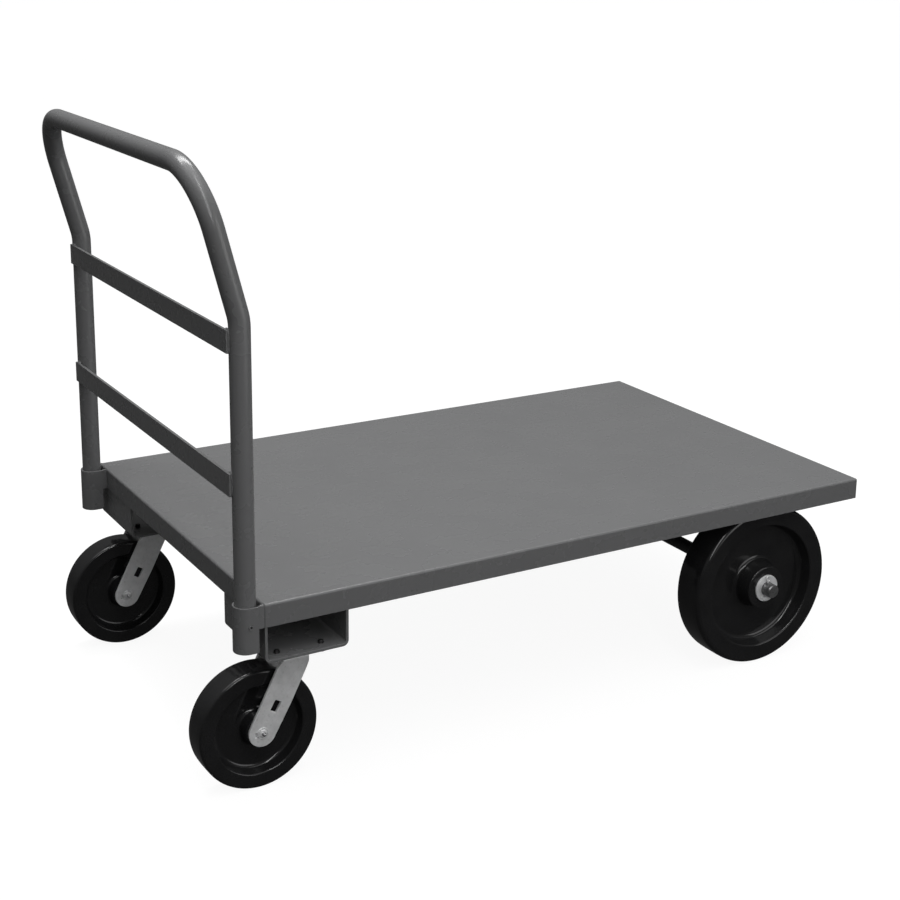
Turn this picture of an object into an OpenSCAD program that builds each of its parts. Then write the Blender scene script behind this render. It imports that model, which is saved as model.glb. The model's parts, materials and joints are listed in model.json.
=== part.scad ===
// Steel platform truck: flanged sheet deck, lift-out tube handle in two sockets, two swivel
// casters under the handle end and two large wheels on a through axle under the other end.
// Origin: on the floor, below the middle of the whole truck. +X towards the large wheels.

/* [Deck] */
// Length of the deck between its end faces
deck_l = 1219.2; // [1000:0.1:1500]
// Width of the deck across its side faces
deck_w = 762; // [700:0.1:900]
// Height of the deck's top face above the floor
deck_h = 334; // [330:1:345]
// Depth of the flange folded down all round
flange_h = 38.1; // [34:0.1:50]
// Sheet thickness of the deck pan
sheet_t = 1.9; // [1.5:0.1:3]
// Outer radius of the fold along the top edges
edge_r = 4; // [2.5:0.5:6]

/* [Handle] */
// Outside diameter of the handle tube
tube_d = 33.4; // [30:0.1:35]
// Wall thickness of the handle tube
tube_t = 2.8; // [1.5:0.1:4]
// Distance of the legs' centre lines beyond the deck's end face
leg_out = 22; // [20:0.5:26]
// Height of the bend in the legs above the deck
bend_z = 446; // [400:1:500]
// Lean of the upper part away from the deck, in degrees
lean = 15; // [5:1:25]
// Length of the leaning part, up to the top bar's centre line
lean_l = 234; // [200:1:300]
// Centre-line radius of the two top corners
corner_r = 94; // [60:1:120]
// Centre-line radius of the bends in the legs
knee_r = 90; // [60:1:120]
// Height of the upper strap's middle above the deck
upper_strap_z = 414.5; // [380:0.5:420]
// Width of the upper strap
upper_strap_w = 35.5; // [25:0.5:40]
// Height of the lower strap's middle above the deck
lower_strap_z = 192.5; // [120:0.5:260]
// Width of the lower strap
lower_strap_w = 36; // [25:0.5:40]
// Thickness of both straps
strap_t = 4.8; // [3:0.1:8]

/* [Sockets] */
// Radial clearance between the leg and its socket
socket_gap = 0.5; // [0.4:0.1:1]
// Wall thickness of the U-shaped sockets
socket_t = 3.2; // [2.5:0.1:4]
// Length of the sockets
socket_l = 76.2; // [60:0.1:100]
// Gap between the sockets and the deck's end face, filled by the weld
weld_gap = 8; // [3:0.5:10]

/* [Caster channels] */
// Width of the channel along the truck
chan_w = 144; // [135:1:150]
// Length of the channel across the truck
chan_l = 160; // [140:1:170]
// Depth of the channel's underside below the deck's top face
chan_d = 100; // [95:1:110]
// Wall thickness of the channel
chan_t = 4.8; // [3:0.1:6]

/* [Casters] */
// Diameter of the caster wheels
caster_d = 203.2; // [190:0.1:205]
// Width of the caster wheels
caster_w = 50.8; // [44:0.1:51]
// Distance of the swivel axis from the deck's end face
swivel_in = 69; // [66:0.5:75]
// Distance of the swivel axis from the truck's centre plane
swivel_y = 311; // [300:1:316]
// Offset of the wheel's axle behind the swivel axis
trail = 60; // [55:1:65]
// Radius of the rounded lower end of the fork legs
fork_end_r = 23.5; // [20:0.5:25]

/* [Large wheels] */
// Diameter of the large wheels
wheel_d = 304.8; // [290:0.1:306]
// Width of the large wheels
wheel_w = 63.5; // [60:0.1:64]
// Distance of the axle from the deck's handle end
axle_in = 1013.5; // [950:0.5:1050]
// Distance of the large wheels' middle plane from the truck's centre plane
wheel_y = 332; // [328:1:334]
// Diameter of the through axle
axle_d = 25.4; // [25.4:0.1:25.6]
// Length of the through axle
axle_l = 792; // [786:1:800]

/* [Hidden] */
$fn = 72;
paint = "dimgray";
zinc = "silver";
black = [0.1, 0.1, 0.1];
side_names = ["left", "right"];

tube_r = tube_d / 2;
overhang = leg_out + lean_l * sin(lean) + tube_r;
x0 = (overhang - deck_l) / 2;             // the deck's handle end
leg_x = x0 - leg_out;
socket_ri = tube_r + socket_gap;
socket_ro = socket_ri + socket_t;
leg_y = deck_w / 2 - socket_ro;
socket_z = deck_h - 1.5 - socket_l;       // underside of the sockets
stop_h = 4;
seam = 0.005;                             // hairline between the tube's straight and bent stretches
leg_z = socket_z + stop_h + 0.3;          // lower end of the legs
strap_x = leg_x - tube_r - strap_t;
screw_r = 3.95;
screw_z = deck_h - 33;
tip_gap = 0.4;                            // gap between a screw's tip and the leg

pan_gap = 0.05;                           // gap between the channels and the pan's flanges
chan_x = x0 + sheet_t + pan_gap;
chan_y = deck_w / 2 - sheet_t - pan_gap;  // outer end of the channels
mount_z = deck_h - chan_d;                // the casters' mounting face
under_z = deck_h - sheet_t;               // underside of the deck sheet
chan_r = 10;

plate_l = 101.6;
plate_w = 114.3;
plate_t = 6;
bolt_dx = 76.2;
bolt_dy = 92.1;
bolt_r = 4.76;
hole_r = 5.2;                             // clearance holes in the plate
caster_r = caster_d / 2;
race_gap = 4;
fork_t = 5;
fork_in = 32.2;                           // half the gap between the fork legs
fork_out = fork_in + fork_t;
disc_r = 42;
disc_z = mount_z - plate_t - race_gap;    // top of the fork
lower_z = disc_z - fork_t;                // underside of the fork's top
ball_r = 3.175;
ball_ring_r = 30;
small_ball_r = 2.4;
small_ring_r = 16;
king_r = 8;
race_z = lower_z - 3;                     // top of the lower race
race_t = 3;
nut_h = 10;
pin_r = 6.35;
bush_r = 9.525;
caster_bore_r = 15.1;
caster_hub = 30.2;

wheel_r = wheel_d / 2;
axle_r = axle_d / 2;
axle_x = x0 + axle_in;
hub_half = 41.3;
wheel_bore_r = 19.1;
bracket_t = 8;
bracket_w = 60;
bracket_y = 249;                          // middle of each bracket
bracket_half = 34;
washer_r = 25.4;
washer_t = 3.4;
cotter_r = 2.3;
cotter_y = wheel_y + hub_half + 0.3 + washer_t + cotter_r + 0.3;

function arc(c, r, a0, a1, n = 6) =
    [for (i = [0:n]) let (a = a0 + (a1 - a0) * i / n) [c[0] + r * cos(a), c[1] + r * sin(a)]];
function mirrored(points) =
    [for (i = [len(points) - 1:-1:0]) [points[i][0], -points[i][1]]];

// The left side is +Y, the right side is -Y
module on_side(s) {
    flip = s == "left" ? 0 : 1;
    mirror([0, flip, 0]) children();
}
module both_sides() {
    for (s = side_names) on_side(s) children();
}
module at_swivel(s) {
    y = s == "left" ? swivel_y : -swivel_y;
    translate([x0 + swivel_in, y, 0]) children();
}
// Lays a shape made along Z so that it runs along Y
module along_y() {
    rotate([90, 0, 0]) children();
}
module ring(ro, ri, h) {
    difference() {
        cylinder(r = ro, h = h, center = true);
        cylinder(r = ri, h = h + 2, center = true);
    }
}

// ---- deck ----
module rounded_top(w, h, r) {
    translate([-w / 2, 0]) square([w, h - r]);
    translate([-w / 2 + r, 0]) square([w - 2 * r, h]);
    for (s = [-1, 1]) translate([s * (w / 2 - r), h - r]) circle(r);
}
module pan_block(l, w, h, r) {
    intersection() {
        rotate([90, 0, 90]) linear_extrude(l, center = true) rounded_top(w, h, r);
        rotate([90, 0, 0]) linear_extrude(w + 2, center = true) rounded_top(l, h, r);
    }
}
module deck_pan() {
    color(paint) translate([x0 + deck_l / 2, 0, deck_h - flange_h]) difference() {
        pan_block(deck_l, deck_w, flange_h, edge_r);
        translate([0, 0, -5])
            pan_block(deck_l - 2 * sheet_t, deck_w - 2 * sheet_t,
                flange_h - sheet_t + 5, edge_r - sheet_t);
    }
}
// Two open channels under the sheet, one on each side of the middle
module deck_ribs() {
    rib_w = 60;
    rib_h = 30;
    color(paint) both_sides() translate([x0 + 160, 120, under_z - rib_h]) difference() {
        cube([deck_l - 320, rib_w, rib_h]);
        translate([-1, sheet_t, sheet_t]) cube([deck_l, rib_w - 2 * sheet_t, rib_h]);
    }
}

// ---- handle sockets ----
module socket(s) {
    color(paint) on_side(s) difference() {
        translate([leg_x, leg_y, socket_z]) union() {
            cylinder(r = socket_ro, h = socket_l);
            translate([0, -socket_ro, 0]) cube([leg_out - weld_gap, 2 * socket_ro, socket_l]);
        }
        translate([leg_x, leg_y, socket_z - 1]) cylinder(r = socket_ri, h = socket_l + 2);
        translate([leg_x, leg_y - socket_ri, socket_z - 1])
            cube([leg_out + 1, 2 * socket_ri, socket_l + 2]);
        translate([leg_x, leg_y + socket_ro, screw_z]) along_y()
            cylinder(r = screw_r + 0.05, h = 20, center = true);
    }
}
// A short bar across the bottom of each socket, on which the leg rests
module socket_stops() {
    color(paint) both_sides() translate([leg_x, leg_y - socket_ri, socket_z])
        cube([12, 2 * socket_ri, stop_h]);
}
// A cup-point screw through the outer cheek of each socket
module socket_screws() {
    head = 1.6;
    tip = leg_y + tube_r + tip_gap;
    color(zinc) both_sides() translate([leg_x, deck_w / 2 + head, screw_z]) along_y() difference() {
        cylinder(r = screw_r, h = deck_w / 2 + head - tip);
        translate([0, 0, -1]) cylinder(r = 2, h = 3, $fn = 6);
    }
}
// Beads that fill the gap between each cheek of a socket and the deck's end flange
module socket_welds() {
    color(paint) both_sides() for (y = [leg_y - socket_ro, leg_y + socket_ri])
        translate([x0 - weld_gap, y, deck_h - flange_h])
            cube([weld_gap, socket_t, flange_h - edge_r]);
}

// ---- caster channels ----
module channel_profile(w, h, r) {
    translate([0, r]) square([w, h - r]);
    translate([r, 0]) square([w - 2 * r, h]);
    for (x = [r, w - r]) translate([x, r]) circle(r);
}
// The block of space inside the pan, down to the channels' lowest face
module inside_pan() {
    h = under_z - mount_z + 10;
    translate([x0 + deck_l / 2, 0, under_z - h])
        pan_block(deck_l - 2 * sheet_t - pan_gap, deck_w - 2 * sheet_t - pan_gap, h, edge_r - sheet_t);
}
// Open channel whose upper corners are ground off to clear the inside of the deck's folds
module channel(s) {
    h = under_z - mount_z;
    color(paint) on_side(s) intersection() {
        inside_pan();
        difference() {
            translate([chan_x, chan_y, mount_z]) along_y()
                linear_extrude(chan_l) channel_profile(chan_w, h, chan_r);
            translate([chan_x + chan_t, chan_y + 1, mount_z + chan_t]) along_y()
                linear_extrude(chan_l + 2)
                    channel_profile(chan_w - 2 * chan_t, h, chan_r - chan_t);
            translate([x0 + swivel_in, swivel_y, mount_z]) bolt_places()
                cylinder(r = bolt_r + 0.05, h = 30, center = true);
        }
    }
}
module channel_welds() {
    leg = 5;
    color(paint) both_sides()
        translate([chan_x + chan_w, chan_y - 10, under_z]) rotate([90, 0, 0])
            linear_extrude(chan_l - 20) polygon([[0, 0], [leg, 0], [0, -leg]]);
}

// ---- axle and its brackets ----
module bracket(s) {
    top = under_z;
    color(paint) on_side(s) difference() {
        union() {
            translate([axle_x - bracket_w / 2, bracket_y - bracket_half, wheel_r])
                cube([bracket_w, 2 * bracket_half, top - wheel_r]);
            translate([axle_x, bracket_y, wheel_r]) along_y()
                cylinder(r = bracket_w / 2, h = 2 * bracket_half, center = true);
        }
        translate([axle_x - bracket_w, bracket_y - bracket_half + bracket_t, 0])
            cube([2 * bracket_w, 2 * (bracket_half - bracket_t), top - bracket_t]);
        translate([axle_x, bracket_y, wheel_r]) along_y()
            cylinder(r = axle_r + 0.1, h = 3 * bracket_half, center = true);
    }
}
module bracket_welds() {
    leg = 6;
    color(paint) both_sides() for (s = [0, 1])
        translate([axle_x, bracket_y, under_z]) mirror([s, 0, 0])
            translate([bracket_w / 2, bracket_half - 4, 0]) rotate([90, 0, 0])
                linear_extrude(2 * bracket_half - 8) polygon([[0, 0], [leg, 0], [0, -leg]]);
}
module rear_axle() {
    chamfer = 1.5;
    color(zinc) translate([axle_x, 0, wheel_r]) along_y() difference() {
        union() {
            cylinder(r = axle_r, h = axle_l - 2 * chamfer, center = true);
            for (m = [0, 1]) mirror([0, 0, m]) translate([0, 0, axle_l / 2 - chamfer])
                cylinder(r1 = axle_r, r2 = axle_r - chamfer, h = chamfer);
        }
        for (y = [-cotter_y, cotter_y]) translate([0, 0, y]) rotate([90, 0, 0])
            cylinder(r = cotter_r + 0.1, h = axle_d + 4, center = true);
    }
}
// Set collars against the inner faces of the brackets
module axle_collars() {
    w = 14;
    y = bracket_y - bracket_half - w / 2 - 0.1;
    color(zinc) both_sides() translate([axle_x, y, wheel_r]) along_y() difference() {
        ring(21, axle_r + 0.05, w);
        rotate([0, 90, 0]) translate([0, 0, 12]) cylinder(r = 3, h = 20);
    }
}
// Spacer tube and thrust washer between each bracket and its wheel
module axle_spacers() {
    y1 = bracket_y + bracket_half + 0.1;
    y2 = wheel_y - hub_half - 0.3;
    color(zinc) both_sides() translate([axle_x, 0, wheel_r]) {
        translate([0, (y1 + y2 - washer_t) / 2, 0]) along_y()
            ring(17, axle_r + 0.1, y2 - y1 - washer_t);
        translate([0, y2 - washer_t / 2, 0]) along_y() ring(washer_r, axle_r + 0.1, washer_t);
    }
}
module axle_washers() {
    y = wheel_y + hub_half + 0.3 + washer_t / 2;
    color(zinc) both_sides() translate([axle_x, y, wheel_r]) along_y()
        ring(washer_r, axle_r + 0.4, washer_t);
}
// Eye above the axle, shank through it, and two legs bent apart below
module cotter_pins() {
    eye_r = 5;
    color(zinc) both_sides() translate([axle_x, cotter_y, wheel_r]) {
        cylinder(r = cotter_r, h = axle_d + 6, center = true);
        translate([0, 0, axle_r + 3 + eye_r]) along_y()
            rotate_extrude() translate([eye_r, 0]) circle(cotter_r / 2 + 0.4);
        for (m = [0, 1]) mirror([m, 0, 0]) translate([0.9, 0, -axle_r - 2.6]) rotate([0, 115, 0])
            cylinder(r = 1.1, h = 11);
    }
}

// ---- wheels ----
// Half outline of a moulded wheel, from the bore's mouth out to the tread
function wheel_half(rim, half, bore, hub, boss_top, boss_base, web, dish_in, dish_out, f, c) =
    concat(
        [[bore, hub]],
        arc([boss_top - 2, hub - 2], 2, 90, 15, 4),
        arc([boss_base + f, web + f], f, 195, 270, 6),
        arc([dish_in - f, web + f], f, 270, 345, 6),
        arc([dish_out + 3, half - 3], 3, 165, 90, 4),
        arc([rim - c, half - c], c, 90, 0, 6));
module moulded_wheel(rim, half, bore, hub, boss_top, boss_base, web, dish_in, dish_out, f, c) {
    outline = wheel_half(rim, half, bore, hub, boss_top, boss_base, web, dish_in, dish_out, f, c);
    along_y() rotate_extrude() polygon(concat(outline, mirrored(outline)));
}
// Caged needle rollers that run between a shaft and a wheel's bore
module roller_cage(shaft_r, bore_r, half, count) {
    roller_r = (bore_r - shaft_r - 0.1) / 2;
    pitch_r = shaft_r + 0.06 + roller_r;
    end_t = 2;
    along_y() {
        for (i = [0:count - 1]) rotate(i * 360 / count) {
            translate([pitch_r, 0, 0])
                cylinder(r = roller_r, h = 2 * (half - end_t) - 0.4, center = true);
            rotate(180 / count) translate([pitch_r, 0, 0])
                cylinder(r = 0.9, h = 2 * half - end_t, center = true);
        }
        for (s = [-1, 1]) translate([0, 0, s * (half - end_t / 2)])
            ring(bore_r - 0.2, shaft_r + 0.4, end_t);
    }
}
module at_wheel(s) {
    y = s == "left" ? wheel_y : -wheel_y;
    translate([axle_x, y, wheel_r]) children();
}
module wheel(s) {
    color(black) at_wheel(s)
        moulded_wheel(wheel_r, wheel_w / 2, wheel_bore_r, hub_half, 40, 46, 7.75, 112, 118, 8, 8.5);
}
module bearing(s) {
    color(zinc) at_wheel(s) roller_cage(axle_r, wheel_bore_r, hub_half - 2, 12);
}
module caster_wheel(s) {
    color(black) at_swivel(s) translate([-trail, 0, caster_r])
        moulded_wheel(caster_r, caster_w / 2, caster_bore_r, caster_hub, 25, 29, 7, 72, 76, 7, 5);
}
module caster_roller_cage(s) {
    color(zinc) at_swivel(s) translate([-trail, 0, caster_r])
        roller_cage(bush_r, caster_bore_r, caster_hub - 2, 9);
}

// ---- handle ----
// Cross-section of the tube, centred on its own centre line
module tube_section() {
    difference() {
        circle(tube_r);
        circle(tube_r - tube_t);
    }
}
module handle_tube() {
    knee_z = deck_h + bend_z;
    knee_l = knee_r * tan(lean / 2);
    straight = lean_l - corner_r - knee_l;
    corner_arcs = 3;
    corner_a = 90 / corner_arcs;
    seam_a = seam / corner_r * 180 / PI;
    color(paint) {
        both_sides() translate([leg_x, leg_y, 0]) {
            translate([0, 0, leg_z]) linear_extrude(knee_z - knee_l - leg_z) tube_section();
            translate([-knee_r, 0, knee_z - knee_l + seam]) along_y()
                rotate_extrude(angle = lean) translate([knee_r, 0]) tube_section();
            translate([0, 0, knee_z]) rotate([0, -lean, 0]) {
                translate([0, 0, knee_l + seam]) linear_extrude(straight - seam) tube_section();
                translate([0, -corner_r, knee_l + straight]) rotate([90, 0, 90])
                    for (i = [0:corner_arcs - 1]) rotate(i * corner_a)
                        rotate_extrude(angle = corner_a - seam_a)
                            translate([corner_r, 0]) tube_section();
            }
        }
        translate([leg_x, 0, knee_z]) rotate([0, -lean, 0]) translate([0, 0, lean_l]) along_y()
            linear_extrude(2 * (leg_y - corner_r - seam), center = true) tube_section();
    }
}
module strap(z, w) {
    color(paint) translate([strap_x, -leg_y, deck_h + z - w / 2])
        cube([strap_t - 0.02, 2 * leg_y, w]);
}
module strap_welds() {
    r = 2.5;
    w = 14;
    color(paint) both_sides()
        for (p = [[upper_strap_z, upper_strap_w], [lower_strap_z, lower_strap_w]])
            for (k = [-1, 1])
                translate([leg_x - tube_r - r, leg_y, deck_h + p[0] + k * (p[1] / 2 + r)])
                    along_y() cylinder(r = r - 0.02, h = w);
}

// ---- casters ----
module bolt_places() {
    for (x = [-1, 1]) for (y = [-1, 1])
        translate([x * bolt_dx / 2, y * bolt_dy / 2, 0]) children();
}
module both_swivels() {
    for (s = side_names) at_swivel(s) children();
}
module hex(across, h) {
    cylinder(r = across / sqrt(3), h = h, $fn = 6);
}
// Low-headed screws that come up through the plate into tapped holes in the channel's floor
module caster_screws() {
    head_h = 4;
    tip = 5;
    color(black) both_swivels() bolt_places() difference() {
        union() {
            translate([0, 0, mount_z - plate_t - head_h]) cylinder(r1 = 5.5, r2 = 8.5, h = head_h);
            translate([0, 0, mount_z - plate_t - 1])
                cylinder(r = bolt_r, h = plate_t + chan_t + tip);
            translate([0, 0, mount_z + chan_t + tip - 1])
                cylinder(r1 = bolt_r, r2 = bolt_r - 1, h = 1);
        }
        translate([0, 0, mount_z - plate_t - head_h - 1]) hex(5.6, 3.2);
    }
}
module plate(s) {
    r = 10;
    color(zinc) at_swivel(s) translate([0, 0, mount_z - plate_t]) difference() {
        union() {
            translate([-plate_l / 2 + r, -plate_w / 2, 0]) cube([plate_l - 2 * r, plate_w, plate_t]);
            translate([-plate_l / 2, -plate_w / 2 + r, 0]) cube([plate_l, plate_w - 2 * r, plate_t]);
            for (x = [-1, 1]) for (y = [-1, 1])
                translate([x * (plate_l / 2 - r), y * (plate_w / 2 - r), 0])
                    cylinder(r = r, h = plate_t);
        }
        translate([0, 0, -1]) cylinder(r = king_r + 0.02, h = plate_t + 2);
        translate([0, 0, -1]) bolt_places() cylinder(r = hole_r, h = plate_t + 2);
        translate([0, 0, -race_gap / 2])
            rotate_extrude() translate([ball_ring_r, 0]) circle(ball_r + 0.1);
    }
}
// Shouldered pin, riveted flush into the plate, that carries the lower race and its nut
module kingpin(s) {
    color(zinc) at_swivel(s) translate([0, 0, race_z - race_t - nut_h - 2])
        cylinder(r = king_r, h = mount_z - race_z + race_t + nut_h + 2);
}
module kingpin_nuts() {
    color(zinc) both_swivels() translate([0, 0, race_z - race_t - nut_h]) difference() {
        hex(24, nut_h);
        translate([0, 0, -1]) cylinder(r = king_r + 0.02, h = nut_h + 2);
    }
}
module lower_race(s) {
    color(zinc) at_swivel(s) translate([0, 0, race_z - race_t / 2]) difference() {
        ring(23, king_r + 0.02, race_t);
        translate([0, 0, race_t / 2 + (lower_z - race_z) / 2])
            rotate_extrude() translate([small_ring_r, 0]) circle(small_ball_r + 0.1);
    }
}
module ball_ring(s) {
    count = 22;
    color(zinc) at_swivel(s) translate([0, 0, disc_z + race_gap / 2])
        for (i = [0:count - 1]) rotate(i * 360 / count) translate([ball_ring_r, 0, 0])
            sphere(ball_r, $fn = 24);
}
module small_balls(s) {
    count = 16;
    color(zinc) at_swivel(s) translate([0, 0, (lower_z + race_z) / 2])
        for (i = [0:count - 1]) rotate(i * 360 / count) translate([small_ring_r, 0, 0])
            sphere(small_ball_r, $fn = 24);
}
// Side view of a fork leg, seen along Y
module fork_side() {
    a = atan2(disc_z - 16 - caster_r, trail);
    u = [cos(a), sin(a)];
    n = [-sin(a), cos(a)];
    half = 22;
    translate([-trail, caster_r]) circle(fork_end_r);
    polygon([
        [-trail, caster_r] + fork_end_r * n,
        [-half - 12, disc_z - 20],
        [-half - 4, disc_z - 10],
        [-half, disc_z],
        [half, disc_z],
        [half, disc_z - 16],
        [half - 4, disc_z - 26],
        [-trail, caster_r] + 60 * u - fork_end_r * n,
        [-trail, caster_r] - fork_end_r * n]);
}
// End view of the two legs and the bends over which they meet the top
module fork_arch() {
    r = 9;
    difference() {
        union() {
            translate([-fork_out, 0]) square([2 * fork_out, disc_z - r]);
            translate([-fork_out + r, 0]) square([2 * (fork_out - r), disc_z]);
            for (s = [-1, 1]) translate([s * (fork_out - r), disc_z - r]) circle(r);
        }
        translate([-fork_in, -1]) square([2 * fork_in, disc_z - r + 1]);
        translate([-fork_in + r - fork_t, -1]) square([2 * (fork_in - r + fork_t), lower_z + 1]);
        for (s = [-1, 1]) translate([s * (fork_out - r), disc_z - r]) circle(r - fork_t);
    }
}
module fork(s) {
    slot = [11.5, 19];
    slot_at = 47;
    tilt = atan2(trail, disc_z - 16 - caster_r);
    flat = fork_out - 9;
    color(zinc) at_swivel(s) difference() {
        union() {
            intersection() {
                rotate([90, 0, 90]) linear_extrude(300, center = true) fork_arch();
                along_y() linear_extrude(200, center = true) fork_side();
            }
            intersection() {
                translate([0, 0, lower_z]) cylinder(r = disc_r, h = fork_t);
                translate([-50, -flat, lower_z - 1]) cube([100, 2 * flat, fork_t + 2]);
            }
        }
        translate([0, 0, lower_z - 5]) cylinder(r = king_r + 0.05, h = 20);
        translate([0, 0, disc_z + race_gap / 2])
            rotate_extrude() translate([ball_ring_r, 0]) circle(ball_r + 0.1);
        translate([0, 0, (lower_z + race_z) / 2])
            rotate_extrude() translate([small_ring_r, 0]) circle(small_ball_r + 0.1);
        translate([-trail, 0, caster_r]) {
            along_y() cylinder(r = pin_r + 0.05, h = 200, center = true);
            rotate([0, tilt, 0]) translate([-slot[0] / 2, -100, slot_at - slot[1] / 2])
                cube([slot[0], 200, slot[1]]);
            translate([-13, -100, -5]) cube([3, 200, 7]);
        }
    }
}
module axle_pin(s) {
    color(zinc) at_swivel(s) translate([-trail, 0, caster_r]) along_y() {
        cylinder(r = pin_r, h = 2 * fork_out + 6, center = true);
        translate([0, 0, fork_out + 0.03]) cylinder(r1 = 7.8, r2 = 6.8, h = 2);
        translate([0, 0, -fork_out - 6]) cylinder(r = 10, h = 5.9);
    }
}
module bushing(s) {
    color(zinc) at_swivel(s) translate([-trail, 0, caster_r]) along_y()
        ring(bush_r, pin_r + 0.05, 2 * fork_in - 0.1);
}
module thrust_washers(s) {
    t = 1.4;
    color(zinc) at_swivel(s) translate([-trail, 0, caster_r])
        for (k = [-1, 1]) translate([0, k * (fork_in - 0.1 - t / 2), 0]) along_y()
            ring(19, bush_r + 0.05, t);
}
module grease_nipple(s) {
    color(zinc) at_swivel(s) translate([-trail, -fork_out - 3, caster_r]) along_y() {
        cylinder(r = 3.2, h = 1.6);
        cylinder(r = 1.8, h = 4.5);
        translate([0, 0, 4.5]) sphere(2.4);
    }
}

deck_pan();
deck_ribs();
socket("left");  // socket_left
socket("right");  // socket_right
socket_stops();
socket_screws();
socket_welds();
channel("left");  // channel_left
channel("right");  // channel_right
channel_welds();
bracket("left");  // bracket_left
bracket("right");  // bracket_right
bracket_welds();
rear_axle();
axle_collars();
axle_spacers();
axle_washers();
cotter_pins();
wheel("left");  // wheel_left
wheel("right");  // wheel_right
bearing("left");  // bearing_left
bearing("right");  // bearing_right
handle_tube();
strap(upper_strap_z, upper_strap_w);  // upper_strap
strap(lower_strap_z, lower_strap_w);  // lower_strap
strap_welds();
caster_screws();
plate("left");  // plate_left
plate("right");  // plate_right
kingpin("left");  // kingpin_left
kingpin("right");  // kingpin_right
kingpin_nuts();
lower_race("left");  // lower_race_left
lower_race("right");  // lower_race_right
ball_ring("left");  // ball_ring_left
ball_ring("right");  // ball_ring_right
small_balls("left");  // small_balls_left
small_balls("right");  // small_balls_right
fork("left");  // fork_left
fork("right");  // fork_right
axle_pin("left");  // axle_pin_left
axle_pin("right");  // axle_pin_right
bushing("left");  // bushing_left
bushing("right");  // bushing_right
thrust_washers("left");  // thrust_washers_left
thrust_washers("right");  // thrust_washers_right
grease_nipple("left");  // grease_nipple_left
grease_nipple("right");  // grease_nipple_right
caster_wheel("left");  // caster_wheel_left
caster_wheel("right");  // caster_wheel_right
caster_roller_cage("left");  // roller_cage_left
caster_roller_cage("right");  // roller_cage_right
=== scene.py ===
"""Looks of the steel platform truck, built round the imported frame.

Meshes are made in millimetres, in the frame's own axes, and scaled to metres as each piece is added.
"""

import json
import math
import random

import bmesh
import bpy
from mathutils import Matrix, Vector

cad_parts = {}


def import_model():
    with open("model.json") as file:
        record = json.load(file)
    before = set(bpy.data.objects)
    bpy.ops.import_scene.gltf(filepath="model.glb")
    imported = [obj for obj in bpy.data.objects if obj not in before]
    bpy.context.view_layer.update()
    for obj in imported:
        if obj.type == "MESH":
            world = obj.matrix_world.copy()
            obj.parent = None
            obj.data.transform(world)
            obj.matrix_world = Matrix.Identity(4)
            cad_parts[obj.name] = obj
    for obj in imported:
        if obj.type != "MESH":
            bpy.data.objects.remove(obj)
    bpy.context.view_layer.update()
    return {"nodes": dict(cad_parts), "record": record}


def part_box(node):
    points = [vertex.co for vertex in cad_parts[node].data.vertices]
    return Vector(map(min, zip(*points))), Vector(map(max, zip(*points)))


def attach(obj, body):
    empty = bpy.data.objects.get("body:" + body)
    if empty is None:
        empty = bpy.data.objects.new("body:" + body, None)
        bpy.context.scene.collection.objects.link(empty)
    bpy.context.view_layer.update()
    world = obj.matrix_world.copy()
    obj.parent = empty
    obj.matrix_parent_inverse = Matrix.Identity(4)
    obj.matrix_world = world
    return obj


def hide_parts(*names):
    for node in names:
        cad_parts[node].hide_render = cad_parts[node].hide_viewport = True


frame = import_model()

METRE = 1000.0
SIDES = (("left", 1), ("right", -1))

# ---------------------------------------------------------------- places read from the frame


def box_mm(node):
    low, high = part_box(node)
    return low * METRE, high * METRE


deck_lo, deck_hi = box_mm("deck_pan")
tube_lo, tube_hi = box_mm("handle_tube")
socket_lo, socket_hi = box_mm("socket_left")
channel_lo, channel_hi = box_mm("channel_left")
bracket_lo, bracket_hi = box_mm("bracket_left")
wheel_lo, wheel_hi = box_mm("wheel_left")
caster_lo, caster_hi = box_mm("caster_wheel_left")
fork_lo, fork_hi = box_mm("fork_left")
plate_lo, plate_hi = box_mm("plate_left")
axle_hi = box_mm("rear_axle")[1]
rib_lo, rib_hi = box_mm("deck_ribs")

deck_end = deck_lo.x
deck_top = deck_hi.z
deck_under = channel_hi.z
flange_low = deck_lo.z
half_deck = deck_hi.y

wheel_at = (wheel_lo + wheel_hi) / 2
wheel_r = wheel_hi.z / 2
caster_at = (caster_lo + caster_hi) / 2
caster_r = caster_hi.z / 2
swivel_at = (plate_lo + plate_hi) / 2
fork_top = fork_hi.z

# ---------------------------------------------------------------- sizes of the pieces

SHEET_T = 1.9
FOLD_R = 4.0
TUBE_R = 16.7
TUBE_T = 2.8
LEAN = math.radians(15)
KNEE_R = 90.0
CORNER_R = 94.0
KNEE_ABOVE_DECK = 446.0
LEAN_L = 234.0
SOCKET_T = 3.2
WELD_GAP = 8.0
CHANNEL_T = 4.8
CHANNEL_R = 10.0
BRACKET_T = 8.0
PLATE_T = 6.0
BOLT_R = 4.76
BOLT_SPREAD = (76.2, 92.1)
FORK_T = 5.0
FORK_R = 9.0
FORK_END_R = 23.5
FORK_DISC_R = 42.0
PIN_R = 6.35
AXLE_R = 12.7
SPACER_R = 17.0
THRUST_WASHER_R = 25.4
AXLE_WASHER_T = 3.4
COLLAR_R = 21.0
COLLAR_W = 14.0
RIB_W = 60.0
SLOT_AT = 47.0
TIP_GAP = 0.4

# Sections of the moulded wheels: (at the top, at the foot) of the boss, (floor, lip) of the dish
BIG_WHEEL = {"half": 31.75, "bore": 19.1, "hub": 41.3, "boss": (40, 45.5), "web": 7.75,
             "dish": (111, 118), "fillet": 9, "tread": 8.5}
CASTER_WHEEL = {"half": 25.4, "bore": 15.1, "hub": 30.2, "boss": (25, 28.6), "web": 7,
                "dish": (71, 76), "fillet": 8, "tread": 5}

leg_x = tube_hi.x - TUBE_R
leg_y = tube_hi.y - TUBE_R

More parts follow.
